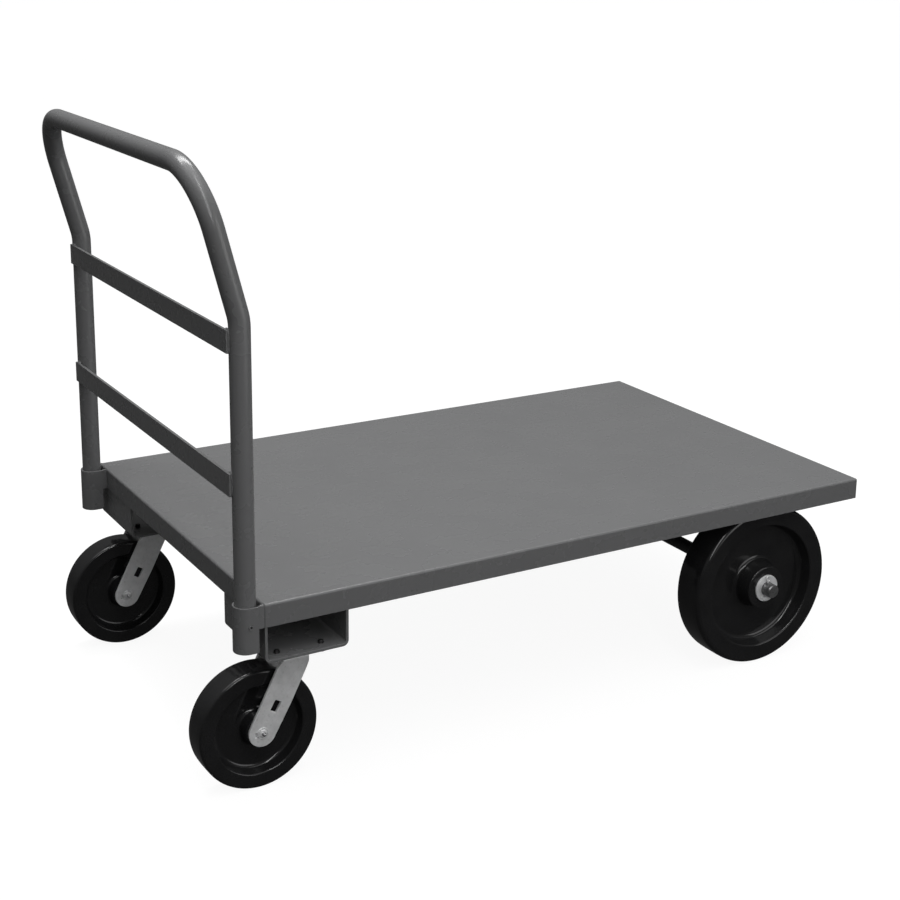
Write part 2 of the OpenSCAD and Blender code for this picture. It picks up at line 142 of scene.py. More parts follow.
# ---------------------------------------------------------------- outlines


def arc(centre, radius, start, end, steps):
    """Points on a circle, from one angle to another in degrees."""
    out = []
    for i in range(steps + 1):
        a = math.radians(start + (end - start) * i / steps)
        out.append((centre[0] + radius * math.cos(a), centre[1] + radius * math.sin(a)))
    return out


def circle(centre, radius, steps=48):
    return arc(centre, radius, 0, 360, steps)[:-1]


def rounded(corners, steps=5):
    """The closed outline through (x, y, radius) corners, with an arc in place of each corner."""
    out = []
    count = len(corners)
    for i, (x, y, radius) in enumerate(corners):
        here = Vector((x, y))
        before = (Vector(corners[i - 1][:2]) - here).normalized()
        after = (Vector(corners[(i + 1) % count][:2]) - here).normalized()
        if radius <= 0 or abs(before.cross(after)) < 1e-4:
            out.append((x, y))
            continue
        half = before.angle(after) / 2
        centre = here + (before + after).normalized() * (radius / math.sin(half))
        first = here + before * (radius / math.tan(half)) - centre
        last = here + after * (radius / math.tan(half)) - centre
        turn = math.atan2(first.cross(last), first.dot(last))
        for k in range(steps + 1):
            point = centre + Matrix.Rotation(turn * k / steps, 2) @ first
            out.append((point.x, point.y))
    return out


def rectangle(width, height, radius=0.0, centre=(0, 0)):
    x, y = width / 2, height / 2
    cx, cy = centre
    corners = [(cx - x, cy - y), (cx + x, cy - y), (cx + x, cy + y), (cx - x, cy + y)]
    return rounded([(a, b, radius) for a, b in corners])


def hexagon(across):
    return circle((0, 0), across / math.sqrt(3), 6)


# ---------------------------------------------------------------- meshes


def placed(bm, matrix):
    bmesh.ops.transform(bm, matrix=matrix, verts=bm.verts)
    return bm


def mirrored(bm, side):
    """Moves a piece that was made on the +Y side to the side asked for."""
    if side < 0:
        placed(bm, Matrix.Diagonal((1, -1, 1, 1)))
        bmesh.ops.reverse_faces(bm, faces=bm.faces)
    return bm


def joined(parts):
    """One bmesh that holds all the parts."""
    whole = bmesh.new()
    for part in parts:
        mesh = bpy.data.meshes.new("part")
        part.to_mesh(mesh)
        part.free()
        whole.from_mesh(mesh)
        bpy.data.meshes.remove(mesh)
    return whole


def turned(outline, steps=64):
    """A closed (radius, height) outline turned about Z."""
    bm = bmesh.new()
    rings = []
    for i in range(steps):
        a = 2 * math.pi * i / steps
        rings.append([bm.verts.new((r * math.cos(a), r * math.sin(a), z)) for r, z in outline])
    for i, ring in enumerate(rings):
        after = rings[(i + 1) % steps]
        for j in range(len(ring)):
            k = (j + 1) % len(ring)
            bm.faces.new((ring[j], after[j], after[k], ring[k]))
    bmesh.ops.remove_doubles(bm, verts=bm.verts, dist=1e-4)
    bmesh.ops.recalc_face_normals(bm, faces=bm.faces)
    return bm


def along_y(bm, at):
    """Lays what was turned about Z along +Y, and moves it to a point."""
    return placed(bm, Matrix.Translation(at) @ Matrix.Rotation(-math.pi / 2, 4, "X"))


def ring(outer, inner, length, edge=0.4):
    """A ring about Z, centred, with its edges broken."""
    h = length / 2
    return [(inner, -h), (outer - edge, -h), (outer, -h + edge), (outer, h - edge),
            (outer - edge, h), (inner, h)]


def plate(outline, holes, thickness, edge, steps=2):
    """A flat plate in XY, its middle at z 0, with rounded edges round its outline and holes."""
    curve = bpy.data.curves.new("plate", "CURVE")
    curve.dimensions = "2D"
    curve.fill_mode = "BOTH"
    curve.extrude = thickness / 2 - edge
    curve.bevel_depth = edge
    curve.bevel_resolution = steps
    curve.offset = -edge
    for line in [outline, *holes]:
        spline = curve.splines.new("POLY")
        spline.points.add(len(line) - 1)
        spline.use_cyclic_u = True
        for point, (x, y) in zip(spline.points, line):
            point.co = (x, y, 0, 1)
    holder = bpy.data.objects.new("plate", curve)
    bpy.context.scene.collection.objects.link(holder)
    shape = holder.evaluated_get(bpy.context.evaluated_depsgraph_get())
    mesh = bpy.data.meshes.new_from_object(shape)
    bm = bmesh.new()
    bm.from_mesh(mesh)
    bpy.data.objects.remove(holder)
    bpy.data.curves.remove(curve)
    bpy.data.meshes.remove(mesh)
    bmesh.ops.remove_doubles(bm, verts=bm.verts, dist=1e-3)
    bmesh.ops.recalc_face_normals(bm, faces=bm.faces)
    return bm


class Fold:
    """The middle line of a folded sheet, walked by its length: straights and arcs in one plane."""

    def __init__(self, start, heading, steps):
        self.parts = []
        self.length = 0.0
        point = Vector(start)
        for length, turn in steps:
            self.parts.append((self.length, length, turn, point.copy(), heading))
            point = self._walk(length, length, turn, point, heading)[0]
            heading += turn
            self.length += length

    @staticmethod
    def _walk(done, length, turn, point, heading):
        if abs(turn) < 1e-9:
            ahead = Vector((math.cos(heading), math.sin(heading)))
            return point + ahead * done, heading
        radius = length / turn
        now = heading + turn * done / length
        centre = point + Vector((-math.sin(heading), math.cos(heading))) * radius
        return centre - Vector((-math.sin(now), math.cos(now))) * radius, now

    def at(self, u):
        for start, length, turn, point, heading in reversed(self.parts):
            if u >= start - 1e-6:
                break
        return self._walk(u - start, length, turn, point, heading)

    def cuts(self, step=math.radians(11.25)):
        """Places where the flat sheet needs an edge so that it can bend."""
        out = []
        for start, length, turn, _, _ in self.parts:
            if abs(turn) > 1e-9:
                count = max(2, round(abs(turn) / step))
                out += [start + length * i / count for i in range(count + 1)]
        return out


def folded(bm, fold):
    """Bends a plate, whose X is the length along the fold, so that its middle follows the fold.

    The result has the fold's plane in XZ and the plate's own Y along Y.
    """
    for u in fold.cuts():
        everything = [*bm.verts, *bm.edges, *bm.faces]
        bmesh.ops.bisect_plane(bm, geom=everything, dist=1e-4, plane_co=(u, 0, 0), plane_no=(1, 0, 0))
    for v in bm.verts:
        point, heading = fold.at(v.co.x)
        v.co = Vector((point.x - math.sin(heading) * v.co.z, v.co.y,
                       point.y + math.cos(heading) * v.co.z))
    bmesh.ops.recalc_face_normals(bm, faces=bm.faces)
    return bm


def swept(stations, sides=40):
    """A round skin through (point, radius) stations, closed at both ends."""
    bm = bmesh.new()
    points = [Vector(p) for p, _ in stations]
    normal = None
    rings = []
    tangent = Vector((0, 0, 1))
    for i, (_, radius) in enumerate(stations):
        ahead = points[min(i + 1, len(points) - 1)] - points[max(i - 1, 0)]
        if ahead.length > 1e-6:
            tangent = ahead.normalized()
        if normal is None:
            normal = tangent.orthogonal()
        normal = (normal - tangent * normal.dot(tangent)).normalized()
        other = tangent.cross(normal)
        line = []
        for k in range(sides):
            a = 2 * math.pi * k / sides
            line.append(bm.verts.new(points[i] + (normal * math.cos(a) + other * math.sin(a)) * radius))
        rings.append(line)
    for a, b in zip(rings, rings[1:]):
        for k in range(sides):
            m = (k + 1) % sides
            bm.faces.new((a[k], a[m], b[m], b[k]))
    bm.faces.new(rings[0])
    bm.faces.new(rings[-1])
    bmesh.ops.recalc_face_normals(bm, faces=bm.faces)
    return bm


def weld_bead(start, end, radius, seed, pitch=2.6, sides=14):
    """A rippled bead: overlapping frozen puddles, each a little different."""
    dice = random.Random(seed)
    start, end = Vector(start), Vector(end)
    length = (end - start).length
    puddles = max(2, round(length / pitch))
    per_puddle = 5
    stations = [(start, 0.05 * radius)]
    swell = 1.0
    for i in range(puddles * per_puddle + 1):
        share = i / (puddles * per_puddle)
        phase = (i % per_puddle) / per_puddle
        if i % per_puddle == 0:
            swell = dice.uniform(0.88, 1.0)
        taper = min(1.0, 0.45 + 4 * min(share, 1 - share))
        ripple = 1 - 0.16 * phase
        stations.append((start.lerp(end, share), radius * swell * ripple * taper))
    stations.append((end, 0.05 * radius))
    return swept(stations, sides)


# ---------------------------------------------------------------- materials


class Nodes:
    """A material's node tree, with short calls for what the materials below share."""

    def __init__(self, name):
        self.material = bpy.data.materials.new(name)
        self.material.use_nodes = True
        self.tree = self.material.node_tree
        self.shader = self.tree.nodes["Principled BSDF"]

    def add(self, kind, **settings):
        node = self.tree.nodes.new(kind)
        for key, value in settings.items():
            setattr(node, key, value)
        return node

    def link(self, source, target):
        self.tree.links.new(source, target)

    def place(self, scale=(1, 1, 1)):
        """The object's own coordinates, in metres, stretched."""
        coordinates = self.add("ShaderNodeTexCoord")
        mapping = self.add("ShaderNodeMapping")
        mapping.inputs["Scale"].default_value = scale
        self.link(coordinates.outputs["Object"], mapping.inputs["Vector"])
        return mapping.outputs["Vector"]

    def noise(self, scale, detail=3.0, roughness=0.55, stretch=(1, 1, 1)):
        node = self.add("ShaderNodeTexNoise")
        node.inputs["Scale"].default_value = scale
        node.inputs["Detail"].default_value = detail
        node.inputs["Roughness"].default_value = roughness
        self.link(self.place(stretch), node.inputs["Vector"])
        return node.outputs["Fac"]

    def ranged(self, value, low, high, from_low=0.3, from_high=0.7):
        node = self.add("ShaderNodeMapRange")
        node.inputs["From Min"].default_value = from_low
        node.inputs["From Max"].default_value = from_high
        node.inputs["To Min"].default_value = low
        node.inputs["To Max"].default_value = high
        self.link(value, node.inputs["Value"])
        return node.outputs["Result"]

    def math(self, kind, a, b):
        node = self.add("ShaderNodeMath", operation=kind)
        for socket, value in zip(node.inputs, (a, b)):
            if isinstance(value, (int, float)):
                socket.default_value = value
            else:
                self.link(value, socket)
        return node.outputs["Value"]

    def mixed(self, share, a, b):
        """Colour a where share is 0 and colour b where it is 1."""
        node = self.add("ShaderNodeMix", data_type="RGBA")
        self.link(share, node.inputs["Factor"])
        for socket, value in ((node.inputs[6], a), (node.inputs[7], b)):
            if isinstance(value, tuple):
                socket.default_value = (*value, 1)
            else:
                self.link(value, socket)
        return node.outputs[2]

    def bump(self, height, distance, strength=1.0, below=None):
        node = self.add("ShaderNodeBump")
        node.inputs["Distance"].default_value = distance
        node.inputs["Strength"].default_value = strength
        self.link(height, node.inputs["Height"])
        if below is not None:
            self.link(below, node.inputs["Normal"])
        return node.outputs["Normal"]

    def set(self, **values):
        for key, value in values.items():
            socket = self.shader.inputs[key.replace("_", " ")]
            if isinstance(value, (int, float)):
                socket.default_value = value
            elif isinstance(value, tuple):
                socket.default_value = (*value, 1)
            else:
                self.link(value, socket)
        return self.material


def grey_paint():
    """Baked grey paint over sheet steel: faint mottling and a little orange peel."""
    m = Nodes("grey_paint")
    colour = m.mixed(m.noise(7, 4), (0.136, 0.137, 0.139), (0.152, 0.153, 0.155))
    peel = m.bump(m.noise(150, 1, 0.4), 0.00006, 0.10)
    waves = m.bump(m.noise(5, 1, 0.4), 0.0012, 0.18, peel)
    return m.set(Base_Color=colour, Roughness=m.ranged(m.noise(20, 3), 0.24, 0.30), Normal=waves,
                 Specular_IOR_Level=0.45)


def zinc_plate():
    """Bright zinc on pressed steel: satin, a little cloudy, with a fine rolled grain."""
    m = Nodes("zinc_plate")
    cloud = m.noise(70, 5, 0.6)
    tone = m.mixed(m.ranged(cloud, 0, 1), (0.70, 0.705, 0.71), (0.84, 0.845, 0.85))
    stain = m.ranged(m.noise(260, 3), 0, 1, 0.58, 0.75)
    colour = m.mixed(m.math("MULTIPLY", stain, 0.4), tone, (0.40, 0.40, 0.39))
    grain = m.noise(500, 3, 0.6, (1, 1, 0.12))
    rough = m.math("ADD", m.ranged(cloud, 0.28, 0.38), m.math("MULTIPLY", grain, 0.08))
    normal = m.bump(grain, 0.00012, 0.35, m.bump(m.noise(140, 3), 0.0003, 0.25))
    return m.set(Base_Color=colour, Metallic=0.35, Roughness=rough, Normal=normal)


def bright_steel():
    """Ground and turned steel with a film of oil."""
    m = Nodes("bright_steel")
    cloud = m.noise(120, 4)
    colour = m.mixed(m.ranged(cloud, 0, 1), (0.42, 0.42, 0.43), (0.56, 0.56, 0.57))
    marks = m.noise(900, 2, 0.5, (1, 0.05, 1))
    return m.set(Base_Color=colour, Metallic=1.0, Roughness=m.ranged(cloud, 0.22, 0.34),
                 Normal=m.bump(marks, 0.00005, 0.3))


def mill_steel():
    """Hot-rolled bar, bright where its ends are machined. Along its length the blue-black mill scale is made
    near black as painted shade, for the shade the bar lies in under the deck.
    """
    m = Nodes("mill_steel")
    ends = m.add("ShaderNodeSeparateXYZ")
    m.link(m.place(), ends.inputs["Vector"])
    reach = m.math("ABSOLUTE", ends.outputs["Y"], 0)
    bright = m.ranged(reach, 0, 1, 0.318, 0.322)
    flakes = m.ranged(m.noise(160, 5, 0.65), 0, 1, 0.45, 0.62)
    # Painted shade: this near-black scale is partly the bar's own mill scale and partly painted shade, made
    # this dark because the bar lies in the shade under the deck.
    scale = m.mixed(flakes, (0.030, 0.031, 0.034), (0.060, 0.058, 0.056))
    steel = m.mixed(m.ranged(m.noise(220, 4), 0, 1), (0.15, 0.15, 0.152), (0.27, 0.27, 0.272))
    colour = m.mixed(bright, scale, steel)
    rough = m.math("SUBTRACT", m.ranged(m.noise(90, 4), 0.50, 0.66), m.math("MULTIPLY", bright, 0.18))
    normal = m.bump(m.noise(420, 4, 0.6), 0.0002, 0.4)
    return m.set(Base_Color=colour, Metallic=m.math("MULTIPLY", bright, 0.95), Roughness=rough,
                 Normal=normal, Specular_IOR_Level=0.35)


def black_oxide():
    """Alloy steel screws, oiled black, with brown-grey rubbed patches."""
    m = Nodes("black_oxide")
    patches = m.ranged(m.noise(300, 4, 0.6), 0, 1, 0.50, 0.70)
    colour = m.mixed(patches, (0.018, 0.018, 0.019), (0.06, 0.057, 0.054))
    rough = m.ranged(m.noise(200, 3), 0.34, 0.5)
    return m.set(Base_Color=colour, Metallic=0.6, Roughness=rough,
                 Normal=m.bump(m.noise(800, 2), 0.00005, 0.3))


def black_phenolic():
    """Glossy black moulded resin, with faint flow marks and a trace of dust in its pores."""
    m = Nodes("black_phenolic")
    tone = m.mixed(m.ranged(m.noise(25, 5), 0, 1), (0.0095, 0.0095, 0.010), (0.0140, 0.0140, 0.0145))
    dust = m.ranged(m.noise(700, 2, 0.5), 0, 1, 0.66, 0.80)
    colour = m.mixed(m.math("MULTIPLY", dust, 0.5), tone, (0.03, 0.03, 0.03))
    rough = m.ranged(m.noise(18, 5, 0.6), 0.10, 0.18)
    flow = m.bump(m.noise(30, 3, 0.5), 0.0006, 0.18)
    return m.set(Base_Color=colour, Roughness=rough, Normal=m.bump(m.noise(520, 2), 0.00004, 0.25, flow),
                 Specular_IOR_Level=0.46)


MATERIALS = {
    "grey_paint": grey_paint(),
    "zinc_plate": zinc_plate(),
    "bright_steel": bright_steel(),
    "mill_steel": mill_steel(),
    "black_oxide": black_oxide(),
    "black_phenolic": black_phenolic(),
}

# ---------------------------------------------------------------- adding pieces


def add_piece(name, parts, slot, body, nodes, crease=32):
    """Turns the parts into one object that rides on a body and stands for its CAD nodes."""
    bm = joined(parts)
    placed(bm, Matrix.Scale(1 / METRE, 4))
    mesh = bpy.data.meshes.new(name)
    bm.to_mesh(mesh)
    bm.free()
    mesh.polygons.foreach_set("use_smooth", [True] * len(mesh.polygons))
    mesh.set_sharp_from_angle(angle=math.radians(crease))
    mesh.materials.append(MATERIALS[slot])
    piece = bpy.data.objects.new(name, mesh)
    bpy.context.scene.collection.objects.link(piece)
    normals = piece.modifiers.new("weighted_normals", "WEIGHTED_NORMAL")
    normals.keep_sharp = True
    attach(piece, body)
    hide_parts(*nodes)
    return piece


# ---------------------------------------------------------------- deck


def open_box(low, high, top_r, side_r):
    """A box with no bottom, its top edges and upright corners rounded."""
    bm = bmesh.new()
    bmesh.ops.create_cube(bm, size=1)
    size = Vector(high) - Vector(low)
    centre = (Vector(high) + Vector(low)) / 2
    placed(bm, Matrix.Translation(centre) @ Matrix.Diagonal((*size, 1)))
    bottom = [f for f in bm.faces if f.normal.z < -0.5]
    bmesh.ops.delete(bm, geom=bottom, context="FACES_ONLY")
    uprights = [e for e in bm.edges if abs(e.verts[0].co.z - e.verts[1].co.z) > 1]
    bmesh.ops.bevel(bm, geom=uprights, offset=side_r, segments=5, profile=0.5, affect="EDGES")
    rim = [e for e in bm.edges
           if all(abs(v.co.z - high[2]) < 1e-3 for v in e.verts)
           and any(abs(f.normal.z) < 0.5 for f in e.link_faces)]
    bmesh.ops.bevel(bm, geom=rim, offset=top_r, segments=7, profile=0.5, affect="EDGES",
                    clamp_overlap=False)
    return bm


def deck_pan():
    """The pan as a thin folded shell: an outer skin, an inner skin and the flanges' lower edge."""
    t = SHEET_T
    outer = open_box(deck_lo, deck_hi, FOLD_R, FOLD_R)
    inner = open_box(deck_lo + Vector((t, t, 0)), deck_hi - Vector((t, t, t)), FOLD_R - t, FOLD_R - t)
    bmesh.ops.reverse_faces(inner, faces=inner.faces)
    shell = joined([outer, inner])
    rims = [e for e in shell.edges if e.is_boundary]
    bmesh.ops.bridge_loops(shell, edges=rims)
    add_piece("deck_skin", [shell], "grey_paint", "frame", ["deck_pan"], crease=40)


def hat_section(low, high, thickness, radius, length_axis="X"):
    """The middle line along which one plate is bent into an open channel, two upright walls and a floor with
    its mouth upwards, and the channel's length.
    """
    middle_r = radius - thickness / 2
    bend = middle_r * math.pi / 2
    if length_axis == "X":
        width, length = high[1] - low[1], high[0] - low[0]
    else:
        width, length = high[0] - low[0], high[1] - low[1]
    wall = high[2] - low[2] - radius
    floor = width - 2 * radius
    start = (-width / 2 + thickness / 2, high[2])
    turn = math.pi / 2
    fold = Fold(start, -turn, [(wall, 0), (bend, turn), (floor, 0), (bend, turn), (wall, 0)])
    return fold, length


def ribs():
    low, high = rib_lo, rib_hi
    parts = []
    for _, side in SIDES:
        fold, length = hat_section((low.x, high.y - RIB_W, low.z), high, SHEET_T, 3.5)
        flat = plate(rectangle(fold.length, length, 0.5, (fold.length / 2, 0)), [], SHEET_T, 0.3)
        part = folded(flat, fold)
        turn = Matrix.Rotation(math.pi / 2, 4, "Z")
        place = Matrix.Translation(((low.x + high.x) / 2, high.y - RIB_W / 2, 0))
        parts.append(mirrored(placed(part, place @ turn), side))
    add_piece("deck_stiffeners", parts, "grey_paint", "frame", ["deck_ribs"])


# ---------------------------------------------------------------- caster channels


def bolt_spots():
    dx, dy = BOLT_SPREAD
    return [(sx * dx / 2, sy * dy / 2) for sx in (-1, 1) for sy in (-1, 1)]


def channels():
    for name, side in SIDES:
        fold, length = hat_section(channel_lo, channel_hi, CHANNEL_T, CHANNEL_R, "Y")
        mid_u = fold.length / 2
        mid = (channel_lo + channel_hi) / 2
        holes = []
        for dx, dy in bolt_spots():
            u = mid_u + swivel_at.x + dx - mid.x
            holes.append(circle((u, swivel_at.y + dy - mid.y), BOLT_R + 0.05, 32))
        flat = plate(rectangle(fold.length, length, 1.0, (mid_u, 0)), holes, CHANNEL_T, 0.7)
        part = placed(folded(flat, fold), Matrix.Translation((mid.x, mid.y, 0)))
        add_piece(f"channel_{name}_body", [mirrored(part, side)], "grey_paint", "frame",
                  [f"channel_{name}"])


# ---------------------------------------------------------------- handle


def handle_line():
    """The middle line of the handle, from one leg's foot round to the other's."""
    foot = tube_lo.z
    knee_z = deck_top + KNEE_ABOVE_DECK
    knee_l = KNEE_R * math.tan(LEAN / 2)
    side = [(leg_x, foot), (leg_x, knee_z - knee_l)]
    for i in range(1, 7):
        a = LEAN * i / 6
        side.append((leg_x - KNEE_R + KNEE_R * math.cos(a), knee_z - knee_l + KNEE_R * math.sin(a)))
    up = Vector((-math.sin(LEAN), math.cos(LEAN)))
    knee = Vector((leg_x, knee_z))
    points = [Vector((x, leg_y, z)) for x, z in side]
    for i in range(25):
        a = math.pi / 2 * i / 24
        along = LEAN_L - CORNER_R + CORNER_R * math.sin(a)
        x, z = knee + up * along
        points.append(Vector((x, leg_y - CORNER_R + CORNER_R * math.cos(a), z)))
    other = [Vector((p.x, -p.y, p.z)) for p in reversed(points)]
    return points + other


def handle():
    """The bent tube as one open skin, with a wall turned back into each foot."""
    line = handle_line()
    fine = []
    for a, b in zip(line, line[1:]):
        count = max(1, round((b - a).length / 60))
        fine += [a.lerp(b, i / count) for i in range(count)]
    fine.append(line[-1])
    skin = swept([(p, TUBE_R) for p in fine], 56)
    ends = [f for f in skin.faces if len(f.verts) > 4]
    bmesh.ops.delete(skin, geom=ends, context="FACES_ONLY")
    foot = line[0].z
    inside = TUBE_R - TUBE_T
    mouth = [(0.1, foot + 40), (inside, foot + 40), (inside, foot), (TUBE_R, foot)]
    feet = [placed(turned(mouth, 56), Matrix.Translation((leg_x, side * leg_y, 0)))
            for _, side in SIDES]
    add_piece("handle_bent_tube", [skin, *feet], "grey_paint", "handle", ["handle_tube"], crease=50)


def strap(name):
    low, high = box_mm(name)
    size = high - low
    flat = plate(rectangle(size.y, size.z, 0.3), [], size.x, 0.25)
    upright = Matrix(((0, 0, 1, 0), (1, 0, 0, 0), (0, 1, 0, 0), (0, 0, 0, 1)))
    placed(flat, Matrix.Translation((low + high) / 2) @ upright)
    add_piece(f"{name}_bar", [flat], "grey_paint", "handle", [name])


def strap_beads():
    """Beads above, below and at the end of each strap, where it lies against the legs."""
    parts = []
    for k, name in enumerate(("upper_strap", "lower_strap")):
        low, high = box_mm(name)
        touch = high.x
        for _, side in SIDES:
            seed = 40 + 10 * k + side
            outer = side * (high.y - 1.5)
            inner = side * (high.y - 13)
            for z in (low.z, high.z):
                parts.append(weld_bead((touch + 0.6, inner, z), (touch + 0.6, outer, z), 1.9, seed))
            end = side * (high.y + 0.2)
            parts.append(weld_bead((touch - 0.6, end, low.z + 1), (touch - 0.6, end, high.z - 1), 1.8, seed))
    add_piece("strap_weld_beads", parts, "grey_paint", "handle", ["strap_welds"], crease=60)


# ---------------------------------------------------------------- handle sockets


def sockets():
    outer_r = half_deck - leg_y
    inner_r = outer_r - SOCKET_T
    middle_r = (outer_r + inner_r) / 2
    cheek = socket_hi.x - leg_x
    bend = middle_r * math.pi
    height = socket_hi.z - socket_lo.z
    screw_z = sum(corner.z for corner in box_mm("socket_screws")) / 2
    for name, side in SIDES:
        fold = Fold((cheek, middle_r), math.pi, [(cheek, 0), (bend, math.pi), (cheek, 0)])
        centre = (fold.length / 2, 0)
        hole = circle((cheek, screw_z - (socket_lo.z + height / 2)), 4.0, 20)
        flat = plate(rectangle(fold.length, height, 0.8, centre), [hole], SOCKET_T, 0.6)
        part = folded(flat, fold)
        lay = Matrix(((1, 0, 0, leg_x), (0, 0, 1, leg_y), (0, 1, 0, socket_lo.z + height / 2),
                      (0, 0, 0, 1)))
        placed(part, lay)
        bmesh.ops.recalc_face_normals(part, faces=part.faces)
        add_piece(f"socket_{name}_shell", [mirrored(part, side)], "grey_paint", "frame",
                  [f"socket_{name}"])


def socket_beads():
    """Weld that fills the gap between the sockets' cheeks and the deck, ground flush outside."""
    parts = []
    low, high = flange_low, deck_top - 0.6
    for _, side in SIDES:
        for k, y in enumerate((half_deck - SOCKET_T / 2, 2 * leg_y - half_deck + SOCKET_T / 2)):
            fill = plate(rectangle(WELD_GAP + 1.2, high - low, 1.2), [], SOCKET_T, 0.5)
            stand = Matrix.Translation((deck_end - WELD_GAP / 2, side * y, (low + high) / 2))
            parts.append(placed(fill, stand @ Matrix.Rotation(math.pi / 2, 4, "X")))
            seed = 7 + 4 * k + side
            inner = side * (y + (-1.2 if k == 0 else 1.2))
            x = deck_end - WELD_GAP / 2
            parts.append(weld_bead((x, inner, low + 0.5), (x, inner, high - 1), 2.6, seed, 3.4))
        corner = Vector((deck_end - 3, side * (half_deck - 5), 0))
        foot, crown = Vector((0, 0, low + 1)), Vector((0, 0, high - 1))
        parts.append(weld_bead(corner + foot, corner + crown, 4.0, 30 + side, 4.0))
        for k in range(3):
            start = Vector((deck_end - 6 + 3.4 * k, side * (half_deck - 2.6), high - 0.4))
            drift = Vector((3.2, side * (0.8 - 0.9 * k), 0.2))
            parts.append(weld_bead(start, start + drift, 1.7, 60 + k, 1.6))
    add_piece("socket_weld_beads", parts, "grey_paint", "frame", ["socket_welds"], crease=60)


def socket_small_parts():
    low, high = box_mm("socket_stops")
    bars = []
    for _, side in SIDES:
        bar_l = high.y - (2 * leg_y - high.y)
        bar = plate(rectangle(high.x - low.x, bar_l, 1.0), [], high.z - low.z, 0.5)
        placed(bar, Matrix.Translation(((low.x + high.x) / 2, side * leg_y, (low.z + high.z) / 2)))
        bars.append(bar)
    add_piece("socket_stop_bars", bars, "grey_paint", "frame", ["socket_stops"])
    low, high = box_mm("socket_screws")
    centre = (low + high) / 2
    tip = leg_y + TUBE_R + TIP_GAP
    length = high.y - tip
    screws = []
    for _, side in SIDES:
        r = (high.x - low.x) / 2
        outline = [(0, 0), (r - 0.8, 0), (r, 0.8)]
        turns = int((length - 2) / 1.25)
        for i in range(turns):
            z = 0.9 + i * 1.25
            outline += [(r, z), (r - 0.6, z + 0.6)]
        outline += [(r, length - 0.7), (r - 0.5, length), (2.3, length), (2.3, length - 2.6),
                    (0, length - 3.2)]
        screw = along_y(turned(outline, 32), Vector((centre.x, tip, centre.z)))
        screws.append(mirrored(screw, side))
    add_piece("socket_set_screws", screws, "grey_paint", "frame", ["socket_screws"])


# ---------------------------------------------------------------- moulded wheels


def moulded_outline(rim, half, bore, hub, boss, web, dish, fillet, tread):
    """Section of a moulded wheel: hub boss, thin web, deep dish on both faces, rounded tread."""
    top, base = boss
    floor, lip = dish
    upper = rounded([
        (bore, 0, 0), (bore, hub, 0.8), (top, hub, 2.2), (base, web, fillet), (floor, web, fillet),
        (lip, half, 3.2), (rim - 0.6, half, tread), (rim, half * 0.45, 9), (rim, 0, 0)], 8)
    lower = [(r, -y) for r, y in reversed(upper)][1:-1]
    return upper + lower


def moulded_wheels():
    big = moulded_outline(wheel_r, **BIG_WHEEL)
    small = moulded_outline(caster_r, **CASTER_WHEEL)
    for name, side in SIDES:
        at = Vector((wheel_at.x, side * wheel_at.y, wheel_at.z))
        add_piece(f"wheel_{name}_moulding", [along_y(turned(big, 192), at)], "black_phenolic",
                  f"rear_wheel_{name}", [f"wheel_{name}"], crease=28)
        at = Vector((caster_at.x, side * caster_at.y, caster_at.z))
        add_piece(f"caster_wheel_{name}_moulding", [along_y(turned(small, 160), at)],
                  "black_phenolic", f"caster_wheel_{name}", [f"caster_wheel_{name}"], crease=28)


# ---------------------------------------------------------------- casters


def fork_fold():
    """The fork's middle line in the YZ plane, from one leg's foot over the top to the other's."""
    low, high = fork_lo.z, fork_top
    half = (fork_hi.y - fork_lo.y) / 2
    leg = high - FORK_R - low
    bend = (FORK_R - FORK_T / 2) * math.pi / 2
    top = 2 * (half - FORK_R)
    turn = -math.pi / 2
    start = (-(half - FORK_T / 2), low)
    return Fold(start, math.pi / 2, [(leg, 0), (bend, turn), (top, 0), (bend, turn), (leg, 0)])


def fork_lines():
    """Directions along and across a fork leg, in (Z, X), and the place of the wheel's pin."""
    trail = swivel_at.x - caster_at.x
    rake = math.atan2(trail, fork_top - 16 - caster_at.z)
    along = Vector((math.cos(rake), math.sin(rake)))
    across = Vector((along.y, -along.x))
    return Vector((caster_at.z - fork_lo.z, -trail)), along, across


def fork_outline(fold):
    """The fork laid flat, as (length along the fold, X): up one leg, round the disc, down the other."""
    foot, along, across = fork_lines()
    middle = fold.length / 2
    top = fork_top - fork_lo.z
    bend = [part[0] for part in fold.parts][1]
    flat = [part[0] for part in fold.parts][2]
    back = foot + across * FORK_END_R
    knee = foot + along * 60 - across * FORK_END_R
    front = foot - across * FORK_END_R
    outside = math.degrees(math.atan2(across.y, across.x))
    toe = [(x, y, 0) for x, y in arc(foot, FORK_END_R, outside + 180, outside + 360, 24)]
    rear = [(back.x, back.y, 0), (top - 20, -34, 12), (top - 10, -26, 12), (bend, -22, 6),
            (flat, -22, 4), (flat + 4, -31, 5)]
    lead = [(flat + 4, 31, 5), (flat, 22, 4), (bend, 22, 6), (top - 16, 22, 10), (top - 26, 18, 10),
            (knee.x, knee.y, 30), (front.x, front.y, 0)]
    reach = math.degrees(math.acos((middle - flat - 7) / FORK_DISC_R))
    disc_low = [(x, y, 0) for x, y in arc((middle, 0), FORK_DISC_R, 180 + reach, 360 - reach, 16)]
    disc_high = [(x, y, 0) for x, y in arc((middle, 0), FORK_DISC_R, reach, 180 - reach, 16)]
    other_toe = [(2 * middle - x, y, r) for x, y, r in reversed(toe)]
    other_rear = [(2 * middle - x, y, r) for x, y, r in reversed(rear)]
    other_lead = [(2 * middle - x, y, r) for x, y, r in reversed(lead)]
    return rounded(toe[1:-1] + rear + disc_low + other_rear + other_toe[1:-1] + other_lead
                   + disc_high + lead, 6)


